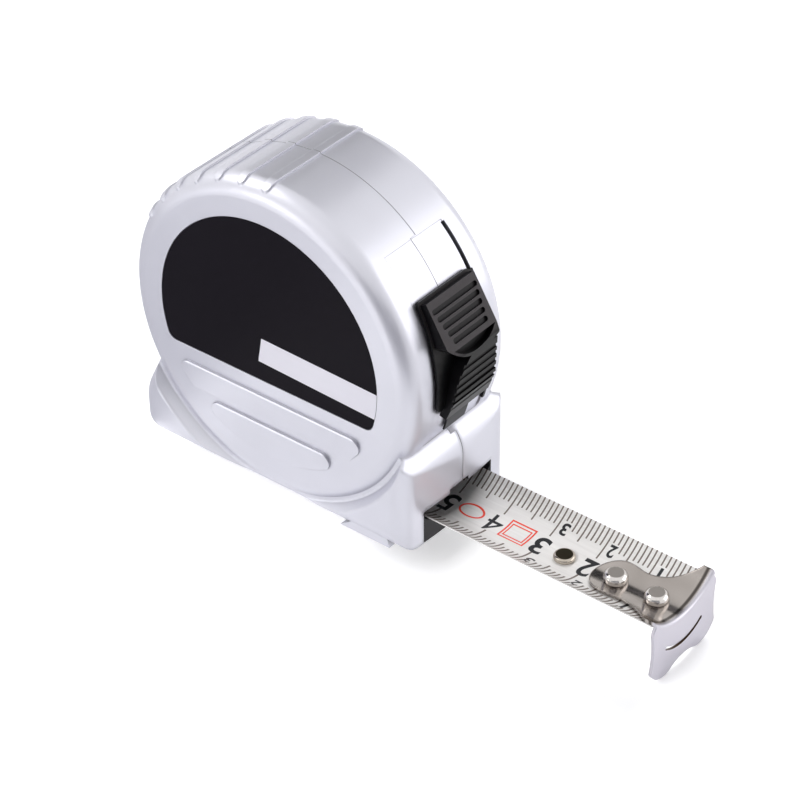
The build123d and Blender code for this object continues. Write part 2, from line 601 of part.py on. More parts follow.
def power_spring():
    """Spring strip between post and drum, with the tab that hooks into the post's slot."""
    half = coil_half - SPRING_INSET
    start_r = POST_R + 0.6
    half_turns = int((hub_in_r - start_r - SPRING_T) / (SPRING_PITCH / 2))
    coil = spiral_strip(start_r, SPRING_PITCH, half_turns, SPRING_T, half)
    tab = Pos((POST_R + start_r + SPRING_T) / 2 - 0.3, 0, -SPRING_T / 2) * Box(
        start_r + SPRING_T - POST_R + 0.6, 2 * half, SPRING_T)
    return Pos(0, 0, drum_z) * (Rot(0, -90, 0) * (coil + tab))


def lead_section(x, z, share):
    """Cross-section of the strip: share 1 is the full curve, share 0 is flat."""
    half = blade_chord_half
    edge_z = z + blade_sag * share + 0.03
    low = ThreePointArc((x, -half, edge_z), (x, 0, z), (x, half, edge_z))
    high = ThreePointArc((x, -half, edge_z + BLADE_T), (x, 0, z + BLADE_T), (x, half, edge_z + BLADE_T))
    ends = [Line(low @ 0, high @ 0), Line(low @ 1, high @ 1)]
    return make_face([low, high, *ends])


def blade_lead():
    """Stretch of the strip between the coil and the mouth, flat at one end and curved at the other."""
    a = radians(lead_angle)
    x0, z0 = -lead_r * sin(a), drum_z - lead_r * cos(a) - BLADE_T
    x1 = BLADE_REAR_X - LEAD_GAP
    bend_z = z0 - (lead_bend_x - x0) * tan(a)
    sections = [lead_section(x0, z0, 0.0)]
    for i, share in enumerate(LEAD_SHARES, start=1):
        x = x0 + (x1 - x0) * i / len(LEAD_SHARES)
        z = z0 - (x - x0) * tan(a)
        if x > lead_bend_x:
            t = (x - lead_bend_x) / (x1 - lead_bend_x)
            z = bend_z + (BLADE_Z - bend_z) * (2 * t - t * t)
        sections.append(lead_section(x, z, share))
    return loft(sections)


def spring_drum():
    """Open drum that holds the spring inside and the blade around it."""
    ring = disc(HUB_R, -flange_y, flange_y) - disc(hub_in_r, -20, 20)
    flange = disc(flange_r, -flange_y - FLANGE_T, -flange_y)
    sleeve = disc(POST_R + SLEEVE_WALL, -reel_half, -flange_y)
    return ring + flange + sleeve - disc(POST_R + CLEAR, -20, 20)


def drum_cover():
    """Disc that closes the drum on the right; its rim plugs into the drum."""
    plate = disc(flange_r, flange_y + SEAT, flange_y + FLANGE_T)
    spigot = disc(hub_in_r - SEAT, flange_y - 1.2, flange_y + 0.3) - disc(hub_in_r - 1.4, -20, 20)
    sleeve = disc(POST_R + SLEEVE_WALL, flange_y + 0.3, reel_half)
    return plate + spigot + sleeve - disc(POST_R + CLEAR, -20, 20)


def centre_post():
    """Fixed arbor between the two halves; its slot holds the inner end of the spring."""
    half = case_half - WALL + POST_SEAT - SEAT
    slot_w, slot_depth = 2 * SPRING_T, 0.9
    slot = Pos(0, 0, drum_z + POST_R - slot_depth) * Box(
        slot_w, 2 * (coil_half - SPRING_INSET + 0.4), 4, align=(Align.CENTER, Align.CENTER, Align.MIN))
    pilot = disc(SCREW_R, half - POST_SCREW_L - 1, half + 1)
    return disc(POST_R, -half, half) - slot - pilot


# ---- screws and belt clip ------------------------------------------------------------------------
def screw(place, head_y, length, shank_r, head_r, head_h):
    """Cross-head screw driven in along -Y; head_y is the seat under its head."""
    x, z = place
    head = disc(head_r, head_y, head_y + head_h, place)
    head = fillet(head.edges().group_by(Axis.Y)[-1], head_h * 0.4)
    for turn in (0, 90):
        head -= Pos(x, head_y + head_h, z) * Rot(0, turn, 0) * Box(head_r * 1.2, 1.2, 0.6)
    tip = 1.2
    shank = disc(shank_r, head_y - length + tip, head_y, place)
    cone = Cone(shank_r, shank_r * 0.35, tip)
    return head + shank + Pos(x, head_y - length + tip / 2, z) * Rot(90, 0, 0) * cone


def case_screws():
    seat = case_half - SCREW_SINK
    length = seat + SCREW_GRIP - 0.2
    return [screw(place, seat + SEAT, length, SCREW_R - SEAT, SCREW_HEAD_R, SCREW_HEAD_H)
            for place in boss_places()]


def post_screw():
    seat = case_half - POST_SCREW_SINK
    return screw((0, drum_z), seat + SEAT, POST_SCREW_L, SCREW_R - SEAT, SCREW_HEAD_R, SCREW_HEAD_H)


def belt_clip():
    """Folded spring-steel clip: short leg under the screw, long leg with a turned-out end."""
    inner_y = case_half + SEAT + CLIP_T / 2
    outer_y = inner_y + CLIP_T + CLIP_GAP
    touch_y = case_half + 0.4 + CLIP_T / 2
    tip_y = foot_half + 1.6 + CLIP_T / 2
    top_z = clip_z + CLIP_RISE
    path = FilletPolyline(
        (0, inner_y, clip_z - 5.0), (0, inner_y, top_z), (0, outer_y, top_z),
        (0, outer_y - 0.4, drum_z + 4), (0, touch_y, CLIP_TOUCH_Z), (0, tip_y, CLIP_LOW_Z),
        radius=CLIP_BEND_R)
    start = Plane(origin=path @ 0, z_dir=path % 0, x_dir=(1, 0, 0))
    strip = sweep(start * Rectangle(2 * CLIP_HALF, CLIP_T), path)
    taper_z, taper = drum_z + 4, 2.2
    shape = outline([
        (-CLIP_HALF, top_z + 2), (CLIP_HALF, top_z + 2), (CLIP_HALF, taper_z),
        (CLIP_HALF - taper, CLIP_LOW_Z - 1), (taper - CLIP_HALF, CLIP_LOW_Z - 1), (-CLIP_HALF, taper_z),
    ])
    shape = fillet([v for v in shape.vertices() if v.Z < CLIP_LOW_Z], 4.0)
    strip &= side_prism(shape, 60)
    strip -= disc(CLIP_SCREW_R + 0.1, case_half - 1, inner_y + CLIP_T, (0, clip_z))
    return strip - disc(CLIP_HEAD_R + 0.6, inner_y + CLIP_T, outer_y + 3, (0, clip_z))


def clip_screw():
    seat = case_half + SEAT + CLIP_T
    length = seat - case_half + WALL + clip_boss_h - 0.1
    return screw((0, clip_z), seat + SEAT, length, CLIP_SCREW_R - SEAT, CLIP_HEAD_R, CLIP_HEAD_H)


# ---- lock ----------------------------------------------------------------------------------------
# heights above the drum
DECK_TOP, DECK_LOW, CREST = (60.3, 2.15), (76.0, 3.75), (78.6, 4.02)
PANEL_TOP, PANEL_MID, PANEL_LOW = (80.5, 3.6), (93.5, 2.7), (100.5, 1.6)
DECK_HALF = 6.6
DECK_SLOTS = 5
SLOT_FIRST, SLOT_PITCH, SLOT_W, SLOT_DEPTH = 1.95, 1.56, 1.0, 0.5
RIDGE_COUNT = 6
RIDGE_FIRST_A, RIDGE_STEP_A, RIDGE_W, RIDGE_DEPTH = 83.4, 2.55, 0.8, 0.45
POCKET_DEPTH = 1.2
CREST_PLAN_A = 80.0      # the plan of the hump is drawn square to this angle


def on_button(spot):
    angle, height = spot
    return at(angle, DRUM_R + height)


def radial_prism(edges, angle, low, high):
    """Extrude a face along the radius at an angle, between two heights above the drum.

    The face's x is Y, and its y runs up the drum, away from the mouth.
    """
    level = Plane(origin=at(angle, DRUM_R + low), x_dir=(0, 1, 0), z_dir=at(angle, 1) - at(angle, 0))
    return extrude(level * make_face(edges), amount=high - low)


def hump_plan():
    """Square top corners, and a crest that bows down in the middle and ends higher on the left."""
    top, left_end, right_end = 14.0, 3.3, 0.5
    crest = ThreePointArc((-DECK_HALF, left_end), (1.0, -0.57), (DECK_HALF, right_end))
    return [crest, Polyline(crest @ 1, (DECK_HALF, top), (-DECK_HALF, top), crest @ 0)]


def thumb_panel_plan():
    """Ribbed lower face: straight on the right, scooped away on the left."""
    left = Spline([(0.4, 1.2), (-2.3, -1.6), (-4.2, -4.4), (-5.0, -7.4), (-5.7, -13.5)])
    return [left, Polyline(left @ 1, (DECK_HALF, -13.5), (DECK_HALF - 0.3, 1.2), left @ 0)]


def pocket_plan():
    """Half-moon: a straight side towards the slots and a bowed side along the crest."""
    side = Line((-5.2, 1.05), (6.15, 1.05))
    return [side, ThreePointArc(side @ 1, (1.2, -1.15), side @ 0)]


def lock_button():
    """Thumb button: slotted deck, hump with a pocket, ribbed lower face, leg, tongue and bridge."""
    skirt = sector(button_in_r, button_in_r + SKIRT_T, LOCK_TOP_A, LOCK_BOTTOM_A, -LOCK_HALF, LOCK_HALF)
    skirt = fillet([edge for edge in skirt.edges() if edge.length < 2 * SKIRT_T], 1.0)
    deck_top, deck_low, crest = on_button(DECK_TOP), on_button(DECK_LOW), on_button(CREST)
    hump_end_a = 84.0
    under = ThreePointArc(at(DECK_TOP[0], button_in_r), at(72, button_in_r), at(hump_end_a, button_in_r))
    end = at(hump_end_a, DRUM_R + 3.3)
    hump = side_prism(make_face([
        under, Line(under @ 1, end), Line(end, crest), Line(crest, deck_low), Line(deck_low, deck_top),
        Line(deck_top, under @ 0),
    ]), DECK_HALF + 1)
    hump &= radial_prism(hump_plan(), CREST_PLAN_A, -3, 6)
    under = ThreePointArc(at(79.0, button_in_r), at(90, button_in_r), at(PANEL_LOW[0], button_in_r))
    top, mid, low = on_button(PANEL_TOP), on_button(PANEL_MID), on_button(PANEL_LOW)
    panel = side_prism(make_face([
        under, Line(under @ 1, low), Line(low, mid), Line(mid, top), Line(top, under @ 0),
    ]), DECK_HALF + 1)
    panel &= radial_prism(thumb_panel_plan(), CREST_PLAN_A, -8, 6)
    body = skirt + hump + panel

    slope = (deck_low - deck_top).normalized()
    tilt = -degrees(asin(slope.Z))
    for i in range(DECK_SLOTS):
        left, right = 0.41 * i - 6.1, 6.1 - 0.28 * i
        centre = deck_top + slope * (SLOT_FIRST + SLOT_PITCH * i)
        bar = Box(SLOT_W, right - left, 2 * SLOT_DEPTH)
        bar = fillet(bar.edges().filter_by(Axis.Z), SLOT_W / 2 - 0.01)
        body -= Pos(centre.X, (left + right) / 2, centre.Z) * Rot(0, tilt, 0) * bar
    pocket_a = 77.6
    body -= radial_prism(pocket_plan(), pocket_a, 3.95 - POCKET_DEPTH, 6)
    for i in range(RIDGE_COUNT):
        angle = RIDGE_FIRST_A + RIDGE_STEP_A * i
        share = (angle - PANEL_TOP[0]) / (PANEL_MID[0] - PANEL_TOP[0])
        height = PANEL_TOP[1] + share * (PANEL_MID[1] - PANEL_TOP[1])
        spot = at(angle, DRUM_R + height)
        body -= Pos(spot.X, 0, spot.Z) * Rot(0, angle - 90, 0) * Box(2 * RIDGE_DEPTH, 3 * DECK_HALF, RIDGE_W)

    web_r = button_in_r + 0.4
    leg = sector(DRUM_R - LEG_DEPTH, web_r, LOCK_TOP_A + 1, LEG_LOW_A, LEG_Y - LEG_T, LEG_Y)
    web = sector(button_in_r, web_r, LOCK_TOP_A + 1, LOCK_BOTTOM_A - 1, LOCK_HALF - 1, LEG_Y)
    tongue = sector(button_in_r, button_in_r + 0.35, LOCK_BOTTOM_A - 2, TRACK_BOTTOM_A - 3.0, -2.95, 2.95)
    bridge = sector(arm_out_r, button_in_r + 0.3, *BRIDGE_A, -BRIDGE_HALF, BRIDGE_HALF)
    return body + leg + web + tongue + bridge


def brake_arm():
    """Inner plate of the lock: it rides under the case wall and wedges the brake spring."""
    return sector(arm_out_r - ARM_T, arm_out_r - SEAT, *ARM_A, -ARM_HALF, ARM_HALF)


def brake_spring():
    """Bent leaf on the front wall; the arm presses its foot on the blade."""
    thick, half = 0.4, 2.4
    wall_x = nose_x - NOSE_WALL - thick / 2 - SEAT
    top = at(ARM_A[1], arm_out_r - ARM_T / 2) + Vector(0.5, 0, -1.3)
    foot_z = BLADE_Z + BLADE_T + thick / 2 + 0.15
    path = FilletPolyline(
        top, (wall_x, 0, top.Z - 4.1), (wall_x, 0, 11.2), (wall_x - 3.3, 0, 6.4),
        (wall_x - 4.3, 0, foot_z), (wall_x - 5.8, 0, foot_z + 0.35), radius=0.8)
    start = Plane(origin=path @ 0, z_dir=path % 0, x_dir=(0, 1, 0))
    return sweep(start * Rectangle(2 * half, thick), path)


case_left, case_right = case_halves()
nodes = {
    "case_left": case_left,
    "case_right": case_right,
    "face_label": face_label(),
    "mouth_guide": mouth_guide(),
    "blade": blade(),
    "blade_lead": blade_lead(),
    "blade_coil": blade_coil(),
    "end_hook": end_hook(),
    "hook_rivets": hook_rivets(),
    "stop_rivet": stop_rivet(),
    "spring_drum": spring_drum(),
    "drum_cover": drum_cover(),
    "power_spring": power_spring(),
    "centre_post": centre_post(),
    "post_screw": post_screw(),
    "case_screws": case_screws(),
    "belt_clip": belt_clip(),
    "clip_screw": clip_screw(),
    "lock_button": lock_button(),
    "brake_arm": brake_arm(),
    "brake_spring": brake_spring(),
}
for name, shape in nodes.items():
    if isinstance(shape, list):
        shape = Compound(children=[one.solid() for one in shape])
    export_step(shape, f"parts/{name}.step")
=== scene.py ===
"""Looks for a pocket tape measure, piece by piece, in the order in which one is put together."""
from math import cos, pi, radians, sin, sqrt

import bmesh
import bpy
from mathutils import Matrix, Vector


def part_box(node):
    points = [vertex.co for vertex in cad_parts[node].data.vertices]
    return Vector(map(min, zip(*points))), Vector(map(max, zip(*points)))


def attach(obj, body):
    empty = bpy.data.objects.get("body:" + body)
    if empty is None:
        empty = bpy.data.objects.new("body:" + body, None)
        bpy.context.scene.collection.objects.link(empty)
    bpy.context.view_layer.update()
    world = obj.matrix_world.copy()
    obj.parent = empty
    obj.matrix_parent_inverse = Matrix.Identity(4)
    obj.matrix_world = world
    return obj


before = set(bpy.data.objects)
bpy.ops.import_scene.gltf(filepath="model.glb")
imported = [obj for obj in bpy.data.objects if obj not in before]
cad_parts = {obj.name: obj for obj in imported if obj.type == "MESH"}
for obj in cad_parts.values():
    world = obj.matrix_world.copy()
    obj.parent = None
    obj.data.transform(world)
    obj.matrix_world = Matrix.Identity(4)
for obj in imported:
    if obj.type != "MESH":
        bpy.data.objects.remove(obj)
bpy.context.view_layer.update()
MM = 0.001

# ---- centre post --------------------------------------------------------------------------------
# The post is moulded in black acetal and sits fixed between the two case halves.
# Its surface is plain, with the faint cloudiness that a moulded bearing part has.


def linear(hex_colour):
    """sRGB hex colour as linear red, green, blue and alpha."""
    channels = [int(hex_colour[i:i + 2], 16) / 255 for i in (1, 3, 5)]
    return [c / 12.92 if c <= 0.04045 else ((c + 0.055) / 1.055) ** 2.4 for c in channels] + [1.0]


def add_node(tree, kind, values=None, links=None, **properties):
    """Adds a shader node: its properties, the values of its sockets and the outputs linked to them."""
    made = tree.nodes.new(kind)
    for key, value in properties.items():
        setattr(made, key, value)
    for key, value in (values or {}).items():
        made.inputs[key].default_value = value
    for key, output in (links or {}).items():
        tree.links.new(output, made.inputs[key])
    return made


def new_material(name):
    """Material with an empty node tree, its output node and the place on the object, in metres."""
    made = bpy.data.materials.new(name)
    made.use_nodes = True
    made.node_tree.nodes.clear()
    output = add_node(made.node_tree, "ShaderNodeOutputMaterial")
    place = add_node(made.node_tree, "ShaderNodeTexCoord").outputs["Object"]
    return made, made.node_tree, output, place


def dress(node, material):
    """Gives a carried-over CAD node its finish."""
    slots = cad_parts[node].data.materials
    slots.clear()
    slots.append(material)


def grained(name, low, high, grain_mm, depth_mm, roughness, **finish):
    """Even finish with life in it: two near colours in soft clouds, uneven gloss and a surface grain.

    A real grain that is too fine to show is drawn as coarse as it needs to be."""
    made, tree, output, place = new_material(name)
    clouds = add_node(tree, "ShaderNodeTexNoise", {"Scale": 1 / (12 * grain_mm * MM), "Detail": 3.0},
                      {"Vector": place})
    colour = add_node(tree, "ShaderNodeMix", {"A": linear(low), "B": linear(high)},
                      {"Factor": clouds.outputs["Fac"]}, data_type="RGBA")
    gloss = add_node(tree, "ShaderNodeMapRange", {"To Min": roughness - 0.04, "To Max": roughness + 0.04},
                     {"Value": clouds.outputs["Fac"]})
    fine = add_node(tree, "ShaderNodeTexNoise", {"Scale": 1 / (grain_mm * MM), "Detail": 2.0},
                    {"Vector": place})
    bump = add_node(tree, "ShaderNodeBump", {"Distance": depth_mm * MM, "Strength": 0.5},
                    {"Height": fine.outputs["Fac"]})
    shader = add_node(tree, "ShaderNodeBsdfPrincipled", finish,
                      {"Base Color": colour.outputs["Result"], "Roughness": gloss.outputs["Result"],
                       "Normal": bump.outputs["Normal"]})
    tree.links.new(shader.outputs["BSDF"], output.inputs["Surface"])
    return made


black_acetal = grained("moulded_black_acetal", "#1E1D21", "#262529", 0.4, 0.01, 0.42, IOR=1.48)
dress("centre_post", black_acetal)

# ---- power spring -------------------------------------------------------------------------------
# A long strip of hardened carbon steel, wound flat inside the drum and hooked to the post.
# Tempering leaves it blue-grey, with a soft metallic shine.

blued_steel = grained("tempered_blue_spring_steel", "#5B606B", "#6D727C", 0.5, 0.004, 0.34, Metallic=1.0)
dress("power_spring", blued_steel)

# ---- reel: drum and cover -----------------------------------------------------------------------
# Two mouldings in grey acetal: an open drum with one flange, and the disc that plugs into it.
# They are never seen in use, so the mould's fine spark texture is left on them.

grey_acetal = grained("moulded_grey_acetal", "#68686D", "#747479", 0.6, 0.015, 0.55, IOR=1.48)
dress("spring_drum", grey_acetal)
dress("drum_cover", grey_acetal)

# ---- blade: coil, lead and straight run ---------------------------------------------------------
# One strip of stainless steel, lacquered grey-white, wound on the drum and curved across where it
# runs straight. The lacquer is smooth and half glossy, and shows the strip's rolling marks.

BLADE_AXIS_Z = 15.4      # axis of the cross curve, mm
BLADE_TOP_R = 13.2       # radius of the printed face, mm

lacquer, tree, output, place = new_material("grey_white_lacquer_on_stainless_strip")
# The rolling marks are finer on the real strip; here they are coarse enough to show.
drawn_out = add_node(tree, "ShaderNodeMapping", {"Scale": (1 / (15 * MM), 1 / (0.7 * MM), 1 / (0.7 * MM))},
                     {"Vector": place})
rolling = add_node(tree, "ShaderNodeTexNoise", {"Scale": 1.0, "Detail": 3.0},
                   {"Vector": drawn_out.outputs["Vector"]})
tone = add_node(tree, "ShaderNodeMix", {"A": linear("#DEDBD9"), "B": linear("#FAF8F6")},
                {"Factor": rolling.outputs["Fac"]}, data_type="RGBA")
bump = add_node(tree, "ShaderNodeBump", {"Distance": 0.003 * MM, "Strength": 0.5},
                {"Height": rolling.outputs["Fac"]})
gloss = add_node(tree, "ShaderNodeMapRange", {"To Min": 0.26, "To Max": 0.40},
                 {"Value": rolling.outputs["Fac"]})
shader = add_node(tree, "ShaderNodeBsdfPrincipled", {"IOR": 1.5, "Metallic": 0.1},
                  {"Base Color": tone.outputs["Result"], "Roughness": gloss.outputs["Result"],
                   "Normal": bump.outputs["Normal"]})
tree.links.new(shader.outputs["BSDF"], output.inputs["Surface"])
for strip in ("blade", "blade_lead", "blade_coil"):
    dress(strip, lacquer)

# ---- scale printed on the blade -----------------------------------------------------------------
# Brown-black ink, printed and baked: millimetre lines along both edges, longer at 5 and 10 mm,
# large numbers in the middle and small ones beside the centimetre lines. It reads from the far side.

SCALE_ZERO_X = 79.70     # inner face of the hook's lip, where the scale starts, mm
SCALE_END = 56           # the last line on the straight run, mm
INK_LIFT = 0.012         # ink stands this far above the lacquer, mm
CUT_STEP = 0.4           # it is cut across at this step so that it bends with the curve, mm
EDGE_S = 9.35            # the lines start this far from the middle, along the curve, mm
CM_S, HALF_S, MM_S = 3.05, 4.45, 5.7     # and end here at 10, at 5 and at 1 mm,
NUMBERED_S = 7.1         # or here, beside a small number
NEAR_LONGER = 0.7        # the lines of the near edge are this much longer, mm
LARGE_H, SMALL_H = 4.8, 2.6      # heights of the two kinds of number, mm
SMALL_S, SMALL_AHEAD = 5.5, 1.6  # the small ones stand here, and this far ahead of their line, mm


def on_blade(distance, s):
    """Point on the printed face: distance from the scale's zero and way across the curve, in mm."""
    r = BLADE_TOP_R - INK_LIFT
    return (SCALE_ZERO_X - distance) * MM, r * sin(s / r) * MM, (BLADE_AXIS_Z - r * cos(s / r)) * MM


def print_on_blade(name, drawing, material):
    """Turns a flat drawing, x = distance and y = way across in mm, into ink that follows the curve."""
    for cut in range(-25, 26):
        bmesh.ops.bisect_plane(drawing, geom=drawing.verts[:] + drawing.edges[:] + drawing.faces[:],
                               plane_co=(0, cut * CUT_STEP, 0), plane_no=(0, 1, 0))
    for vert in drawing.verts:
        vert.co = on_blade(vert.co.x, vert.co.y)
    drawing.normal_update()
    for face in drawing.faces:
        face.smooth = True
        if face.normal.z < 0:
            face.normal_flip()
    mesh = bpy.data.meshes.new(name)
    drawing.to_mesh(mesh)
    drawing.free()
    mesh.materials.append(material)
    piece = bpy.data.objects.new(name, mesh)
    bpy.context.scene.collection.objects.link(piece)
    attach(piece, "blade")


def stroke(drawing, x0, x1, y0, y1):
    """Straight printed line, as a filled strip."""
    drawing.faces.new([drawing.verts.new(co) for co in ((x0, y0, 0), (x1, y0, 0), (x1, y1, 0), (x0, y1, 0))])


def numeral(drawing, number, x, y, height, width, weight):
    """Printed number of a given size, turned so that it reads from the far side of the blade."""
    curve = bpy.data.curves.new("numeral", "FONT")
    curve.body = str(number)
    curve.size = 10
    curve.offset = weight
    holder = bpy.data.objects.new("numeral", curve)
    bpy.context.scene.collection.objects.link(holder)
    flat = bpy.data.meshes.new_from_object(holder.evaluated_get(bpy.context.evaluated_depsgraph_get()))
    xs, ys = [v.co.x for v in flat.vertices], [v.co.y for v in flat.vertices]
    for vert in flat.vertices:
        vert.co = (x + ((vert.co.x - min(xs)) / (max(xs) - min(xs)) - 0.5) * width,
                   y - ((vert.co.y - min(ys)) / (max(ys) - min(ys)) - 0.5) * height, 0)
    drawing.from_mesh(flat)
    bpy.data.objects.remove(holder)
    bpy.data.curves.remove(curve)
    bpy.data.meshes.remove(flat)


line_ink = grained("baked_brown_black_ink", "#6A5F59", "#7C716A", 0.15, 0.002, 0.45, IOR=1.5)
drawing = bmesh.new()
for mm in range(2, SCALE_END + 1):
    reach = CM_S if mm % 10 == 0 else HALF_S if mm % 5 == 0 else MM_S
    if mm < 31 and mm % 10 in (8, 9):
        reach = NUMBERED_S
    for side, half_width, longer in ((-1, 0.19, NEAR_LONGER), (1, 0.15, 0.0)):
        stroke(drawing, mm - half_width, mm + half_width, *sorted((side * EDGE_S, side * (reach - longer))))
print_on_blade("scale_lines", drawing, line_ink)

number_ink = grained("baked_black_ink", "#121317", "#1A1B1F", 0.15, 0.002, 0.4, IOR=1.5)
drawing = bmesh.new()
for cm in range(2, 6):
    numeral(drawing, cm, 10 * cm, 0.0, LARGE_H, 3.1 if cm == 4 else 2.75, 0.0 if cm == 4 else 0.18)
for cm in range(1, 4):
    for side in (-1, 1):
        numeral(drawing, cm, 10 * cm - SMALL_AHEAD, side * SMALL_S, SMALL_H, 0.6 if cm == 1 else 1.5, 0.25)
print_on_blade("scale_numbers", drawing, number_ink)

# ---- red marks on the blade ---------------------------------------------------------------------
# An oval ring and a double frame in red ink, printed between the large numbers and left empty.
# The ink is baked on the lacquer together with the scale.

RING_X, RING_S = 45.3, 0.6       # middle of the ring, along and across the blade, mm
FRAME_X, FRAME_S = 35.1, 0.4     # middle of the double frame
RING_POINTS = 48

red_ink = grained("baked_red_ink", "#E8432F", "#F0503C", 0.15, 0.002, 0.45, IOR=1.5)
drawing = bmesh.new()
turns = [2 * pi * i / RING_POINTS for i in range(RING_POINTS)]
outer, inner = [[drawing.verts.new((RING_X + half_x * cos(turn), RING_S + half_y * sin(turn), 0))
                 for turn in turns] for half_x, half_y in ((2.65, 1.8), (2.25, 1.4))]
for i in range(RING_POINTS):
    j = (i + 1) % RING_POINTS
    drawing.faces.new((outer[i], outer[j], inner[j], inner[i]))
for half_x, half_y, line in ((2.75, 2.5, 0.32), (2.15, 1.75, 0.26)):
    for side in (-1, 1):
        stroke(drawing, *sorted((FRAME_X + side * half_x, FRAME_X + side * (half_x - line))),
               FRAME_S - half_y, FRAME_S + half_y)
        stroke(drawing, FRAME_X - half_x + line, FRAME_X + half_x - line,
               *sorted((FRAME_S + side * half_y, FRAME_S + side * (half_y - line))))
print_on_blade("red_marks", drawing, red_ink)

# ---- rivets -------------------------------------------------------------------------------------
# Drawn steel rivets with bright nickel on them: their sides mirror the surroundings, and their flat
# tops are duller from the setting tool, and coloured darker. The one behind the plate stops its travel; it
# is coloured darker and browner, its top most of all.


def rivet_finish(name, top_roughness, low, high, top_colour):
    """Mirror-bright sides, and a top, known by facing straight up, that is duller and coloured darker."""
    made, tree, output, place = new_material(name)
    shape = add_node(tree, "ShaderNodeNewGeometry")
    axes = add_node(tree, "ShaderNodeSeparateXYZ", links={"Vector": shape.outputs["Normal"]})
    gloss = add_node(tree, "ShaderNodeMapRange",
                     {"From Min": 0.96, "From Max": 0.99, "To Min": 0.12, "To Max": top_roughness},
                     {"Value": axes.outputs["Z"]})
    marks = add_node(tree, "ShaderNodeTexNoise", {"Scale": 1 / (0.5 * MM), "Detail": 3.0}, {"Vector": place})
    tone = add_node(tree, "ShaderNodeMix", {"A": linear(low), "B": linear(high)},
                    {"Factor": marks.outputs["Fac"]}, data_type="RGBA")
    bump = add_node(tree, "ShaderNodeBump", {"Distance": 0.004 * MM, "Strength": 0.5},
                    {"Height": marks.outputs["Fac"]})
    is_top = add_node(tree, "ShaderNodeMapRange", {"From Min": 0.975, "From Max": 0.995},
                      {"Value": axes.outputs["Z"]})
    colour = add_node(tree, "ShaderNodeMix", {"B": linear(top_colour)},
                      {"A": tone.outputs["Result"], "Factor": is_top.outputs["Result"]}, data_type="RGBA")
    shader = add_node(tree, "ShaderNodeBsdfPrincipled", {"Metallic": 1.0},
                      {"Base Color": colour.outputs["Result"], "Roughness": gloss.outputs["Result"],
                       "Normal": bump.outputs["Normal"]})
    tree.links.new(shader.outputs["BSDF"], output.inputs["Surface"])
    return made


dress("hook_rivets", rivet_finish("bright_nickel_on_drawn_steel", 0.5, "#CFCAC6", "#E6E2DF", "#A8A29D"))
dress("stop_rivet", rivet_finish("darkened_nickel_on_drawn_steel", 0.3, "#B5AA9C", "#CFC7BC", "#4A4336"))

# ---- end hook -----------------------------------------------------------------------------------
# Pressed from 0.6 mm steel sheet and nickel plated. The plate on the blade is polished, with painted
# shade along the fold; the lip was bent and tumbled, and has a duller, slightly lilac satin. The wall of
# its nail slot is coloured dark brown.

FOLD_X = 79.0            # the plate starts to bend down here, mm
FOLD_SHADE_CORE, FOLD_SHADE_END = 0.1, 0.5         # the painted shade is darkest as near as this, and gone from here on, mm
SATIN_FROM_X, SATIN_TO_X = 79.2, 79.9    # the polish gives way to satin over the bend, mm
SLOT_Z, SLOT_REACH, SLOT_HALF = -3.0, 2.4, 6.2       # the nail slot's height, and how far it reaches, mm

hook_nickel, tree, output, place = new_material("nickel_plate_on_pressed_steel")
axes = add_node(tree, "ShaderNodeSeparateXYZ", links={"Vector": place})
satin = add_node(tree, "ShaderNodeMapRange", {"From Min": SATIN_FROM_X * MM, "From Max": SATIN_TO_X * MM},
                 {"Value": axes.outputs["X"]}, interpolation_type="SMOOTHSTEP")
wear = add_node(tree, "ShaderNodeTexNoise", {"Scale": 1 / (7 * MM), "Detail": 1.0}, {"Vector": place})
gloss = add_node(tree, "ShaderNodeMapRange", {"To Min": 0.14, "To Max": 0.38},
                 {"Value": satin.outputs["Result"]})
plate_tone = add_node(tree, "ShaderNodeMix", {"A": linear("#8E8782"), "B": linear("#C6BFBA")},
                      {"Factor": wear.outputs["Fac"]}, data_type="RGBA")
# Painted shade: a dark band is coloured into the plate along the fold.
from_fold = add_node(tree, "ShaderNodeMath", {1: FOLD_X * MM}, {0: axes.outputs["X"]}, operation="SUBTRACT")
off_fold = add_node(tree, "ShaderNodeMath", links={0: from_fold.outputs["Value"]}, operation="ABSOLUTE")
fold_shade_amount = add_node(tree, "ShaderNodeMapRange",
                   {"From Min": FOLD_SHADE_END * MM, "From Max": FOLD_SHADE_CORE * MM, "To Max": 0.85},
                   {"Value": off_fold.outputs["Value"]}, interpolation_type="SMOOTHSTEP")
fold_shaded = add_node(tree, "ShaderNodeMix", {"B": linear("#2A2420")},
                  {"A": plate_tone.outputs["Result"], "Factor": fold_shade_amount.outputs["Result"]}, data_type="RGBA")
plated = add_node(tree, "ShaderNodeMix", {"B": linear("#C9C6CF")},
                  {"A": fold_shaded.outputs["Result"], "Factor": satin.outputs["Result"]}, data_type="RGBA")
shape = add_node(tree, "ShaderNodeNewGeometry")
ahead = add_node(tree, "ShaderNodeVectorMath", {1: (1.0, 0.0, 0.0)}, {0: shape.outputs["Normal"]},
                 operation="DOT_PRODUCT")
edgewise = add_node(tree, "ShaderNodeMath", {1: 0.0, 2: 0.6}, {0: ahead.outputs["Value"]},
                    operation="COMPARE")
near_slot = add_node(tree, "ShaderNodeMath", {1: SLOT_Z * MM, 2: SLOT_REACH * MM}, {0: axes.outputs["Z"]},
                     operation="COMPARE")
mid_slot = add_node(tree, "ShaderNodeMath", {1: 0.0, 2: SLOT_HALF * MM}, {0: axes.outputs["Y"]},
                    operation="COMPARE")
around_slot = add_node(tree, "ShaderNodeMath",
                       links={0: near_slot.outputs["Value"], 1: mid_slot.outputs["Value"]},
                       operation="MINIMUM")
slot_wall = add_node(tree, "ShaderNodeMath",
                     links={0: around_slot.outputs["Value"], 1: edgewise.outputs["Value"]},
                     operation="MINIMUM")
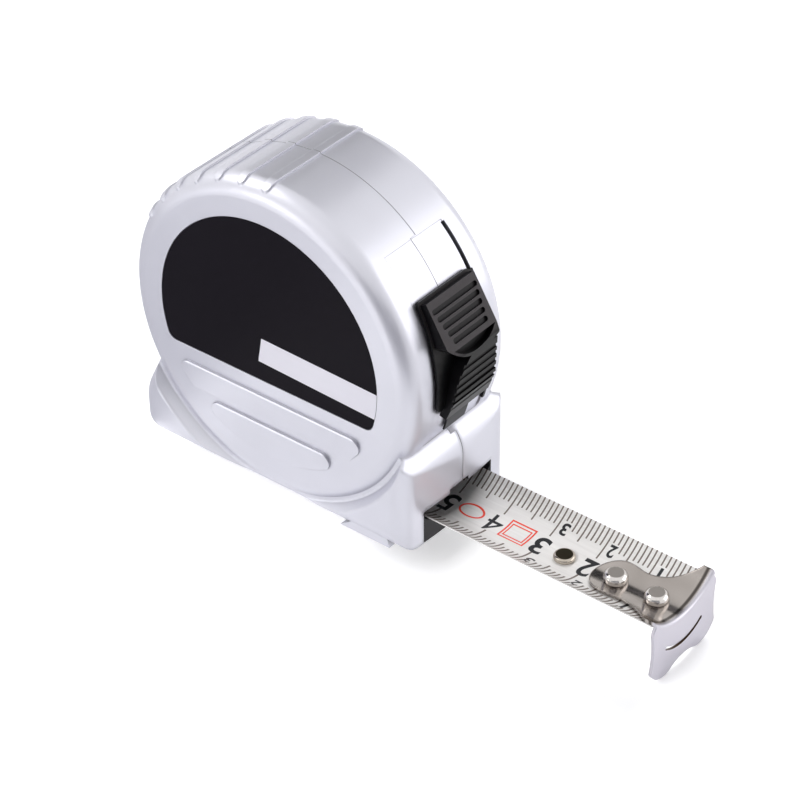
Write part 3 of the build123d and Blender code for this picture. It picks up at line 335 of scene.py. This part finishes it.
tone = add_node(tree, "ShaderNodeMix", {"B": linear("#4A382C")},
                {"A": plated.outputs["Result"], "Factor": slot_wall.outputs["Value"]}, data_type="RGBA")
drawn_out = add_node(tree, "ShaderNodeMapping", {"Scale": (1 / (8 * MM), 1 / (0.25 * MM), 1 / (0.25 * MM))},
                     {"Vector": place})
polish = add_node(tree, "ShaderNodeTexNoise", {"Scale": 1.0, "Detail": 2.0},
                  {"Vector": drawn_out.outputs["Vector"]})
rolled = add_node(tree, "ShaderNodeBevel", {"Radius": 0.35 * MM}, samples=6)
bump = add_node(tree, "ShaderNodeBump", {"Distance": 0.002 * MM, "Strength": 0.5},
                {"Height": polish.outputs["Fac"], "Normal": rolled.outputs["Normal"]})
shader = add_node(tree, "ShaderNodeBsdfPrincipled", {"Metallic": 1.0},
                  {"Base Color": tone.outputs["Result"], "Roughness": gloss.outputs["Result"],
                   "Normal": bump.outputs["Normal"]})
tree.links.new(shader.outputs["BSDF"], output.inputs["Surface"])
dress("end_hook", hook_nickel)

# ---- mouth guide --------------------------------------------------------------------------------
# Black ABS shoe that carries the blade through the mouth and closes the base below it.
# It has the mould's fine, even texture, and shines little.

black_abs = grained("moulded_black_abs", "#232227", "#2C2B30", 0.35, 0.02, 0.5,
                    **{"IOR": 1.53, "Specular IOR Level": 0.25})
dress("mouth_guide", black_abs)

# ---- case halves --------------------------------------------------------------------------------
# Moulded ABS, sprayed with a satin silver lacquer: aluminium flake with a faint lilac cast, with painted
# shade that darkens it in corners and recesses. The halves meet in a fine dark line, which steps aside
# where the lock slides. The inside is bare black plastic.

DRUM_Z = 31.65           # middle of the round body, mm
PART_Y, JOG_Y = 1.0, -0.35       # planes in which the halves meet, mm
JOG_FROM, JOG_TO = 42.2, 114.0   # where they meet in the second one, degrees from the crown to the front
SEAM_HALF = 0.07         # half the dark line's width, mm
DRUM_INSIDE_R, SIDE_INSIDE_Y = 30.6, 12.0    # nearer than this to the axis and the middle is bare, mm
MOUTH_BACK_X, MOUTH_HALF, MOUTH_TOP = 19.0, 9.78, 7.04       # and so is the mouth,
NOTCH_HALF, NOTCH_TOP = 2.7, 7.95        # with the notch in its roof for the rivets, mm
PAINTED_SHADE_REACH = 3.5       # painted shade darkens the lacquer where a wall is nearer than this, mm
NOSE_FROM_X = 29.0       # edges in front of this are treated as the nose's, mm
EDGE_SOFT, NOSE_SOFT = 0.2, 1.4          # how round edges look under the paint, and on the nose, mm

silver, tree, output, place = new_material("satin_silver_lacquer_on_moulded_abs")
clouds = add_node(tree, "ShaderNodeTexNoise", {"Scale": 1 / (14 * MM), "Detail": 2.0}, {"Vector": place})
paint = add_node(tree, "ShaderNodeMix", {"A": linear("#D8D8E1"), "B": linear("#E1E1EA")},
                 {"Factor": clouds.outputs["Fac"]}, data_type="RGBA")
axes = add_node(tree, "ShaderNodeSeparateXYZ", links={"Vector": place})
above = add_node(tree, "ShaderNodeMath", {1: DRUM_Z * MM}, {0: axes.outputs["Z"]}, operation="SUBTRACT")
around = add_node(tree, "ShaderNodeMath", links={0: axes.outputs["X"], 1: above.outputs["Value"]},
                  operation="ARCTAN2")
beside_lock = add_node(tree, "ShaderNodeMath",
                       {1: radians((JOG_FROM + JOG_TO) / 2), 2: radians((JOG_TO - JOG_FROM) / 2)},
                       {0: around.outputs["Value"]}, operation="COMPARE")
seam_y = add_node(tree, "ShaderNodeMapRange", {"To Min": PART_Y * MM, "To Max": JOG_Y * MM},
                  {"Value": beside_lock.outputs["Value"]})
on_seam = add_node(tree, "ShaderNodeMath", {2: SEAM_HALF * MM},
                   {0: axes.outputs["Y"], 1: seam_y.outputs["Result"]}, operation="COMPARE")
# Painted shade: ambient occlusion darkens the lacquer's colour in corners, grooves and recesses.
openness = add_node(tree, "ShaderNodeAmbientOcclusion", {"Distance": PAINTED_SHADE_REACH * MM}, samples=6)
corner_shade_amount = add_node(tree, "ShaderNodeMapRange", {"From Min": 0.82, "From Max": 0.45, "To Max": 0.75},
                     {"Value": openness.outputs["AO"]})
painted_corner_shade = add_node(tree, "ShaderNodeMix", {"B": linear("#8C8B94")},
                     {"A": paint.outputs["Result"], "Factor": corner_shade_amount.outputs["Result"]}, data_type="RGBA")
seamed = add_node(tree, "ShaderNodeMix", {"B": linear("#77757C")},
                  {"A": painted_corner_shade.outputs["Result"], "Factor": on_seam.outputs["Value"]}, data_type="RGBA")
side = add_node(tree, "ShaderNodeMath", links={0: axes.outputs["Y"]}, operation="ABSOLUTE")
from_axis = add_node(tree, "ShaderNodeCombineXYZ",
                     links={"X": axes.outputs["X"], "Z": above.outputs["Value"]})
radius = add_node(tree, "ShaderNodeVectorMath", links={0: from_axis.outputs["Vector"]}, operation="LENGTH")
tests = []
for value, bound, kind in ((radius.outputs["Value"], DRUM_INSIDE_R, "LESS_THAN"),
                           (side.outputs["Value"], SIDE_INSIDE_Y, "LESS_THAN"),
                           (axes.outputs["X"], MOUTH_BACK_X, "GREATER_THAN"),
                           (side.outputs["Value"], MOUTH_HALF, "LESS_THAN"),
                           (axes.outputs["Z"], MOUTH_TOP, "LESS_THAN"),
                           (axes.outputs["X"], MOUTH_BACK_X, "GREATER_THAN"),
                           (side.outputs["Value"], NOTCH_HALF, "LESS_THAN"),
                           (axes.outputs["Z"], NOTCH_TOP, "LESS_THAN")):
    test = add_node(tree, "ShaderNodeMath", {1: bound * MM}, {0: value}, operation=kind)
    tests.append(test.outputs["Value"])
in_drum = add_node(tree, "ShaderNodeMath", links={0: tests[0], 1: tests[1]}, operation="MINIMUM")
spaces = [in_drum.outputs["Value"]]
for near, across, low in (tests[2:5], tests[5:8]):
    box = add_node(tree, "ShaderNodeMath", links={0: near, 1: across}, operation="MINIMUM")
    spaces.append(add_node(tree, "ShaderNodeMath", links={0: box.outputs["Value"], 1: low},
                           operation="MINIMUM").outputs["Value"])
either = add_node(tree, "ShaderNodeMath", links={0: spaces[1], 1: spaces[2]}, operation="MAXIMUM")
inside = add_node(tree, "ShaderNodeMath", links={0: spaces[0], 1: either.outputs["Value"]},
                  operation="MAXIMUM")
tone = add_node(tree, "ShaderNodeMix", {"B": linear("#121114")},
                {"A": seamed.outputs["Result"], "Factor": inside.outputs["Value"]}, data_type="RGBA")
metal = add_node(tree, "ShaderNodeMapRange", {"To Min": 0.8, "To Max": 0.0},
                 {"Value": inside.outputs["Value"]})
# The flake is drawn about ten times as coarse as it is, so that it shows.
flake = add_node(tree, "ShaderNodeTexNoise", {"Scale": 1 / (0.25 * MM), "Detail": 2.0}, {"Vector": place})
nose = add_node(tree, "ShaderNodeMath", {1: NOSE_FROM_X * MM}, {0: axes.outputs["X"]},
                operation="GREATER_THAN")
softness = add_node(tree, "ShaderNodeMapRange", {"To Min": EDGE_SOFT * MM, "To Max": NOSE_SOFT * MM},
                    {"Value": nose.outputs["Value"]})
edges = add_node(tree, "ShaderNodeBevel", links={"Radius": softness.outputs["Result"]}, samples=6)
bump = add_node(tree, "ShaderNodeBump", {"Distance": 0.004 * MM, "Strength": 0.4},
                {"Height": flake.outputs["Fac"], "Normal": edges.outputs["Normal"]})
gloss = add_node(tree, "ShaderNodeMapRange", {"To Min": 0.33, "To Max": 0.40},
                 {"Value": clouds.outputs["Fac"]})
shader = add_node(tree, "ShaderNodeBsdfPrincipled", links={
    "Metallic": metal.outputs["Result"], "Base Color": tone.outputs["Result"],
    "Roughness": gloss.outputs["Result"], "Normal": bump.outputs["Normal"]})
tree.links.new(shader.outputs["BSDF"], output.inputs["Surface"])
dress("case_left", silver)
dress("case_right", silver)

# ---- lock: button, brake arm and brake spring ---------------------------------------------------
# The button is one black ABS moulding; the upper faces of its deck carry a painted highlight, lighter grey
# and rougher. The arm behind the wall is black acetal, and the brake is a bent leaf of spring steel.

DECK_LEAN = radians(58.8)        # how far the deck faces forward from straight up
DECK_OUT = 34.33         # distance of its plane from the reel's axis, mm
HIGHLIGHT_FULL_TO, HIGHLIGHT_GONE_FROM = radians(77), radians(80)       # the painted highlight is full up to the first and gone from the second, from the crown forward

button_abs, tree, output, place = new_material("moulded_black_abs_with_painted_deck_highlight")
axes = add_node(tree, "ShaderNodeSeparateXYZ", links={"Vector": place})
above = add_node(tree, "ShaderNodeMath", {1: DRUM_Z * MM}, {0: axes.outputs["Z"]}, operation="SUBTRACT")
around = add_node(tree, "ShaderNodeMath", links={0: axes.outputs["X"], 1: above.outputs["Value"]},
                  operation="ARCTAN2")
upper = add_node(tree, "ShaderNodeMapRange", {"From Min": HIGHLIGHT_GONE_FROM, "From Max": HIGHLIGHT_FULL_TO},
                 {"Value": around.outputs["Value"]})
shape = add_node(tree, "ShaderNodeNewGeometry")
outward = (sin(DECK_LEAN), 0.0, cos(DECK_LEAN))
facing = add_node(tree, "ShaderNodeVectorMath", {1: outward}, {0: shape.outputs["Normal"]},
                  operation="DOT_PRODUCT")
flat = add_node(tree, "ShaderNodeMapRange", {"From Min": 0.8, "From Max": 0.97},
                {"Value": facing.outputs["Value"]})
out = add_node(tree, "ShaderNodeVectorMath", {1: outward}, {0: place}, operation="DOT_PRODUCT")
level = (DECK_OUT + DRUM_Z * cos(DECK_LEAN)) * MM
high = add_node(tree, "ShaderNodeMapRange",
                {"From Min": level - 0.3 * MM, "From Max": level - 0.1 * MM, "To Min": 0.3},
                {"Value": out.outputs["Value"]})
face = add_node(tree, "ShaderNodeMath", links={0: flat.outputs["Result"], 1: high.outputs["Result"]},
                operation="MULTIPLY")
painted_highlight = add_node(tree, "ShaderNodeMath", links={0: face.outputs["Value"], 1: upper.outputs["Result"]},
                operation="MULTIPLY")
# Painted highlight: the deck's high, outward faces are coloured grey where the light falls on them.
tone = add_node(tree, "ShaderNodeMix", {"A": linear("#0A090B"), "B": linear("#5C585A")},
                {"Factor": painted_highlight.outputs["Value"]}, data_type="RGBA")
fine = add_node(tree, "ShaderNodeTexNoise", {"Scale": 1 / (0.3 * MM), "Detail": 2.0}, {"Vector": place})
bump = add_node(tree, "ShaderNodeBump", {"Distance": 0.01 * MM, "Strength": 0.4},
                {"Height": fine.outputs["Fac"]})
gloss = add_node(tree, "ShaderNodeMapRange", {"To Min": 0.32, "To Max": 0.5},
                 {"Value": painted_highlight.outputs["Value"]})
shader = add_node(tree, "ShaderNodeBsdfPrincipled", {"IOR": 1.53, "Specular IOR Level": 0.15},
                  {"Base Color": tone.outputs["Result"], "Roughness": gloss.outputs["Result"],
                   "Normal": bump.outputs["Normal"]})
tree.links.new(shader.outputs["BSDF"], output.inputs["Surface"])
dress("lock_button", button_abs)
dress("brake_arm", black_acetal)
dress("brake_spring", blued_steel)

# ---- screws and belt clip -----------------------------------------------------------------------
# Zinc-plated thread-forming screws: four hold the halves together, one the post and one the clip.
# The clip is folded from spring steel and nickel plated.

zinc_plate = grained("bright_zinc_plate", "#B4B6BA", "#C4C6C9", 0.5, 0.004, 0.3, Metallic=1.0)
for screws in ("case_screws", "post_screw", "clip_screw"):
    dress(screws, zinc_plate)
clip_nickel = grained("nickel_plate_on_folded_spring_steel", "#C9C9CC", "#D6D6D9", 1.5, 0.003, 0.2,
                      Metallic=1.0)
dress("belt_clip", clip_nickel)

# ---- face label ---------------------------------------------------------------------------------
# Polycarbonate film with a velvet-smooth face, printed near-black with one plain light band.
# It is stuck in a shallow recess in the side of the case.

LABEL_R = 24.8           # its round edge, about the middle of the body, mm
BAND_LEFT = ((-1.3, 32.3), (-2.2, 27.15))        # the band's corners on the left, mm
BAND_RIGHT = (26.2, 31.6)        # its heights at the label's round edge, mm
BAND_SET = 0.15          # how far it stays inside that edge, mm
BAND_LIFT = 0.01         # and how far it lies above the film, mm

label_film = grained("printed_polycarbonate_film", "#120F16", "#17131B", 2.0, 0.002, 0.34,
                     **{"IOR": 1.58, "Specular IOR Level": 0.04})
dress("face_label", label_film)
band_ink = grained("light_grey_ink_under_film", "#EDEBF5", "#F4F2FC", 2.0, 0.002, 0.34, IOR=1.58)
front_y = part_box("face_label")[0][1] - BAND_LIFT * MM
corners = list(BAND_LEFT)
for height in [BAND_RIGHT[0] + (BAND_RIGHT[1] - BAND_RIGHT[0]) * i / 8 for i in range(9)]:
    corners.append((sqrt(LABEL_R ** 2 - (height - DRUM_Z) ** 2) - BAND_SET, height))
band_mesh = bpy.data.meshes.new("label_band")
band_mesh.from_pydata([(x * MM, front_y, z * MM) for x, z in corners], [], [list(range(len(corners)))])
band_mesh.materials.append(band_ink)
band = bpy.data.objects.new("label_band", band_mesh)
bpy.context.scene.collection.objects.link(band)
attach(band, "case")

# ---- studio -------------------------------------------------------------------------------------
# White paper just below the hook's lowest point, a white surround, and two soft boxes for light.
# Unseen panels and grey cards stand around, for the silver and the nickel to mirror.

FLOOR_Z = -7.7 * MM
PAPER_GLOW, MIRRORED_GLOW = 0.5, 0.44    # the paper's own light, as seen and as mirrored


def studio_plane(name, half_x, half_y, material):
    """Flat floor or card, which isn't part of the object."""
    mesh = bpy.data.meshes.new(name)
    corners = [(-half_x, -half_y, 0), (half_x, -half_y, 0), (half_x, half_y, 0), (-half_x, half_y, 0)]
    mesh.from_pydata(corners, [], [(0, 1, 2, 3)])
    mesh.materials.append(material)
    plane = bpy.data.objects.new(name, mesh)
    bpy.context.scene.collection.objects.link(plane)
    return plane


def aim(thing, spot, target):
    """Puts a lamp or card at a spot, facing a target."""
    thing.location = spot
    thing.rotation_euler = (Vector(target) - Vector(spot)).to_track_quat("-Z", "Y").to_euler()


paper, tree, output, place = new_material("white_studio_paper")
matt = add_node(tree, "ShaderNodeBsdfDiffuse", {"Color": (0.84, 0.84, 0.85, 1)})
rays = add_node(tree, "ShaderNodeLightPath").outputs
mirrored = add_node(tree, "ShaderNodeMath", links={0: rays["Is Glossy Ray"], 1: rays["Is Transmission Ray"]},
                    operation="MAXIMUM")
mirrored_glow = add_node(tree, "ShaderNodeMath", {1: MIRRORED_GLOW}, {0: mirrored.outputs["Value"]},
                         operation="MULTIPLY")
glow_level = add_node(tree, "ShaderNodeMath", {1: PAPER_GLOW},
                      {0: rays["Is Camera Ray"], 2: mirrored_glow.outputs["Value"]},
                      operation="MULTIPLY_ADD")
glow = add_node(tree, "ShaderNodeEmission", links={"Strength": glow_level.outputs["Value"]})
both = add_node(tree, "ShaderNodeAddShader", links={0: matt.outputs["BSDF"], 1: glow.outputs["Emission"]})
tree.links.new(both.outputs["Shader"], output.inputs["Surface"])
floor = studio_plane("studio_floor", 3.0, 3.0, paper)
floor.location = (0, 0, FLOOR_Z)

felt = grained("dark_grey_felt", "#242426", "#2A2A2C", 2.0, 0.1, 0.9, IOR=1.45)
light_felt = grained("light_grey_felt", "#B2B2B7", "#BDBDC2", 2.0, 0.1, 0.9, IOR=1.45)
for name, half_x, half_y, spot, cloth in (("front_card", 0.090, 0.055, (0.105, -0.113, 0.045), light_felt),
                                          ("back_card", 0.26, 0.22, (-0.58, 0.70, 0.60), felt),
                                          ("crown_card", 0.13, 0.20, (-0.23, 0.70, 0.74), light_felt)):
    card = studio_plane(name, half_x, half_y, cloth)
    aim(card, spot, (0, 0, 0.03))
    card.visible_camera = False
pale_felt = grained("pale_grey_felt", "#CECED3", "#D8D8DD", 2.0, 0.1, 0.9, IOR=1.45)
card = studio_plane("left_card", 0.125, 0.14, pale_felt)
card.location = (-0.161, 0.03, FLOOR_Z + 0.5 * MM)
card.visible_camera = card.visible_shadow = card.visible_diffuse = False

world = bpy.data.worlds.new("white_surround")
world.use_nodes = True
bpy.context.scene.world = world
tree = world.node_tree
tree.nodes.clear()
output = add_node(tree, "ShaderNodeOutputWorld")
rays = add_node(tree, "ShaderNodeLightPath").outputs
mirrored = add_node(tree, "ShaderNodeMath", links={0: rays["Is Glossy Ray"], 1: rays["Is Transmission Ray"]},
                    operation="MAXIMUM")
seen = add_node(tree, "ShaderNodeMath", links={0: rays["Is Camera Ray"], 1: mirrored.outputs["Value"]},
                operation="MAXIMUM")
white = add_node(tree, "ShaderNodeBackground", {"Color": (1, 1, 1, 1), "Strength": 1.0})
soft = add_node(tree, "ShaderNodeBackground", {"Color": (0.97, 0.97, 1.0, 1), "Strength": 0.15})
chosen = add_node(tree, "ShaderNodeMixShader", links={
    "Fac": seen.outputs["Value"], 1: soft.outputs["Background"], 2: white.outputs["Background"]})
tree.links.new(chosen.outputs["Shader"], output.inputs["Surface"])

for name, spot, size, power, lights, mirrored in (
        ("left_softbox", (-0.16, -0.60, 0.62), 0.45, 4.7, True, False),
        ("right_softbox", (-0.16, 0.60, 0.62), 0.45, 4.7, True, False),
        ("right_panel", (0.80, 0.68, 0.33), 0.95, 3.6, False, True),
        ("upper_panel", (-0.57, -0.20, 0.66), 0.42, 1.4, False, True),
        ("ledge_panel", (-0.37, -0.62, 0.11), 0.14, 0.28, False, True)):
    light = bpy.data.lights.new(name, "AREA")
    light.size, light.energy = size, power
    lamp = bpy.data.objects.new(name, light)
    bpy.context.scene.collection.objects.link(lamp)
    aim(lamp, spot, (0.02, 0, 0.02))
    lamp.visible_diffuse, lamp.visible_glossy = lights, mirrored

# ---- camera -------------------------------------------------------------------------------------
# A long lens half a metre away looks down on the label side, the mouth and the blade. It is aimed
# at TARGET, and AZIMUTH turns it from facing the label towards the front.

TARGET, DISTANCE = (18.693, 0.0, 20.035), 497.66     # mm
AZIMUTH, ELEVATION, ROLL = radians(38.908), radians(36.344), radians(-0.640)

camera_data = bpy.data.cameras.new("camera")
camera_data.sensor_width = 36.0
camera_data.lens = 126.49
camera = bpy.data.objects.new("camera", camera_data)
bpy.context.scene.collection.objects.link(camera)
back = Vector((sin(AZIMUTH) * cos(ELEVATION), -cos(AZIMUTH) * cos(ELEVATION), sin(ELEVATION)))
right = Vector((cos(AZIMUTH), sin(AZIMUTH), 0))
upward = back.cross(right)
turn = Matrix((right * cos(ROLL) + upward * sin(ROLL), upward * cos(ROLL) - right * sin(ROLL), back))
lens_place = (Vector(TARGET) + back * DISTANCE) * MM
camera.matrix_world = Matrix.Translation(lens_place) @ turn.transposed().to_4x4()
bpy.context.scene.camera = camera
bpy.context.scene.view_settings.view_transform = "Standard"
